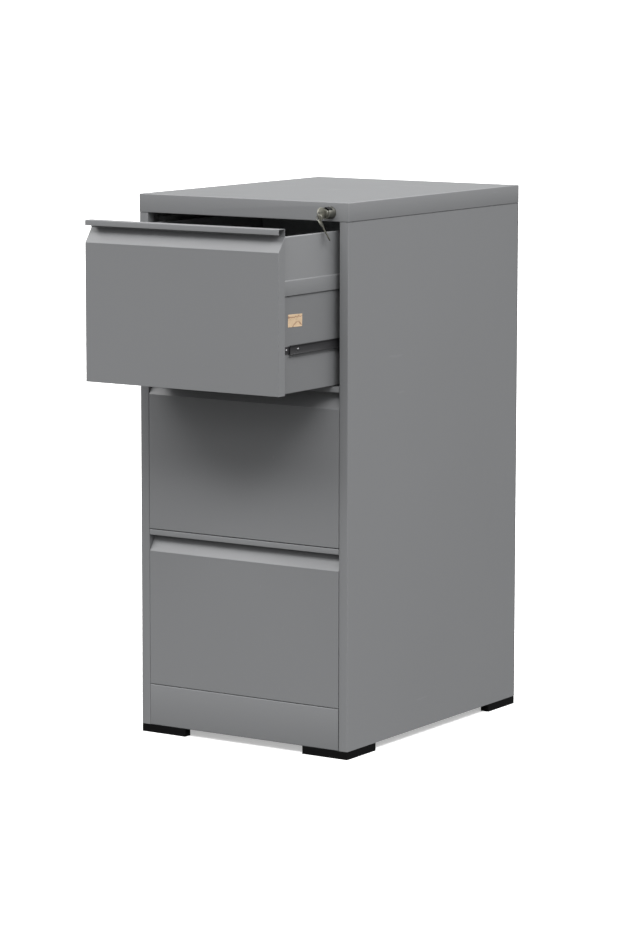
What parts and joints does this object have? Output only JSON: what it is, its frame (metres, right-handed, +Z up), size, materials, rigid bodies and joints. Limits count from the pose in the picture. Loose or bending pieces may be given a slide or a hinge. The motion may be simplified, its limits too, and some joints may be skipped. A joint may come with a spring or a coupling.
{
  "type": "filing cabinet",
  "caption": "Upright steel filing cabinet with pull-out drawers on ball slides, a push-in lock with keys and corner feet.",
  "frame": {"origin": "on the floor, under the middle of the cabinet's outline with its top drawer ajar", "axes": "+Z up, +X to the cabinet's right seen from its front, +Y from its front to its back"},
  "size_m": [0.468, 0.8138, 1.03],
  "materials": {
    "body_paint": "fine-textured powder coat, mid grey, satin",
    "foot_plastic": "black moulded plastic",
    "slide_black": "black electro-coat",
    "cage_steel": "bright zinc plate",
    "zinc_steel": "zinc plate",
    "spring_steel": "drawn wire",
    "lock_chrome": "nickel-chrome plate",
    "key_steel": "nickel-plated",
    "label_paper": "printed paper sticker"
  },
  "bodies": {
    "case": {"left_side_panel": "body_paint", "right_side_panel": "body_paint", "back_panel": "body_paint", "top_cap": "body_paint", "base_pan": "body_paint", "plinth_panel": "body_paint", "foot_front_left": "foot_plastic", "foot_front_right": "foot_plastic", "foot_rear_left": "foot_plastic", "foot_rear_right": "foot_plastic", "slide_post_front_left": "body_paint", "slide_post_front_right": "body_paint", "slide_post_rear_left": "body_paint", "slide_post_rear_right": "body_paint", "case_slide_1_left": "slide_black", "case_slide_1_right": "slide_black", "case_slide_2_left": "slide_black", "case_slide_2_right": "slide_black", "case_slide_3_left": "slide_black", "case_slide_3_right": "slide_black", "lock_housing": "zinc_steel", "lock_spring": "spring_steel", "lock_bar_guide": "zinc_steel"},
    "drawer_1": {"drawer_1_front": "body_paint", "drawer_1_front_liner": "body_paint", "drawer_1_tray": "body_paint", "drawer_1_back": "body_paint", "drawer_1_slide_left": "slide_black", "drawer_1_slide_right": "slide_black", "drawer_1_catch": "zinc_steel", "side_label": "label_paper"},
    "ball_cages_1": {"ball_cage_1_left": "cage_steel", "ball_cage_1_right": "cage_steel"},
    "drawer_2": {"drawer_2_front": "body_paint", "drawer_2_front_liner": "body_paint", "drawer_2_tray": "body_paint", "drawer_2_back": "body_paint", "drawer_2_slide_left": "slide_black", "drawer_2_slide_right": "slide_black", "drawer_2_catch": "zinc_steel"},
    "ball_cages_2": {"ball_cage_2_left": "cage_steel", "ball_cage_2_right": "cage_steel"},
    "drawer_3": {"drawer_3_front": "body_paint", "drawer_3_front_liner": "body_paint", "drawer_3_tray": "body_paint", "drawer_3_back": "body_paint", "drawer_3_slide_left": "slide_black", "drawer_3_slide_right": "slide_black", "drawer_3_catch": "zinc_steel"},
    "ball_cages_3": {"ball_cage_3_left": "cage_steel", "ball_cage_3_right": "cage_steel"},
    "lock_plunger": {"lock_plunger": "lock_chrome"},
    "lock_bar": {"lock_bar": "zinc_steel", "lock_hook_1": "zinc_steel", "lock_hook_2": "zinc_steel", "lock_hook_3": "zinc_steel"},
    "lock_plug": {"lock_plug": "lock_chrome"},
    "key": {"key": "key_steel"},
    "key_ring": {"key_ring": "key_steel"},
    "spare_key": {"spare_key": "key_steel"}
  },
  "joints": [
    {"name": "drawer_1_slide", "type": "slide", "parent": "case", "child": "drawer_1", "axis": [0, -1, 0], "range_m": [-0.1977, 0.1423]},
    {"name": "drawer_2_slide", "type": "slide", "parent": "case", "child": "drawer_2", "axis": [0, -1, 0], "range_m": [0, 0.34]},
    {"name": "drawer_3_slide", "type": "slide", "parent": "case", "child": "drawer_3", "axis": [0, -1, 0], "range_m": [0, 0.34]},
    {"name": "ball_cages_1_slide", "type": "slide", "parent": "case", "child": "ball_cages_1", "axis": [0, -1, 0], "range_m": [-0.10085, 0.07315]},
    {"name": "ball_cages_2_slide", "type": "slide", "parent": "case", "child": "ball_cages_2", "axis": [0, -1, 0], "range_m": [-0.002, 0.172]},
    {"name": "ball_cages_3_slide", "type": "slide", "parent": "case", "child": "ball_cages_3", "axis": [0, -1, 0], "range_m": [-0.002, 0.172]},
    {"name": "lock_push", "type": "slide", "parent": "case", "child": "lock_plunger", "axis": [0, 1, 0], "range_m": [0, 0.013], "stiffness_N_per_m": 400, "springref_m": -0.02, "deforming": ["lock_spring"]},
    {"name": "lock_bar_drop", "type": "slide", "parent": "case", "child": "lock_bar", "axis": [0, 0, -1], "range_m": [-0.0005, 0.0135]},
    {"name": "lock_turn", "type": "hinge", "parent": "lock_plunger", "child": "lock_plug", "pos_m": [0.195, -0.22915, 1.011], "axis": [0, -1, 0], "range_deg": [0, 90]},
    {"name": "key_withdraw", "type": "slide", "parent": "lock_plug", "child": "key", "axis": [0, -1, 0], "range_m": [0, 0.028]},
    {"name": "key_ring_swing", "type": "hinge", "parent": "key", "child": "key_ring", "pos_m": [0.195, -0.25015, 1.0096], "axis": [1, 0, 0], "range_deg": [-15, 5]},
    {"name": "spare_key_swing", "type": "hinge", "parent": "key_ring", "child": "spare_key", "pos_m": [0.195, -0.25015, 1.0036], "axis": [0, -1, 0], "range_deg": [0, 26]}
  ],
  "couplings": [
    {"joint": "ball_cages_1_slide", "follows": "drawer_1_slide", "ratio": 0.5},
    {"joint": "ball_cages_2_slide", "follows": "drawer_2_slide", "ratio": 0.5},
    {"joint": "ball_cages_3_slide", "follows": "drawer_3_slide", "ratio": 0.5},
    {"joint": "lock_bar_drop", "follows": "lock_push", "ratio": 1}
  ]
}
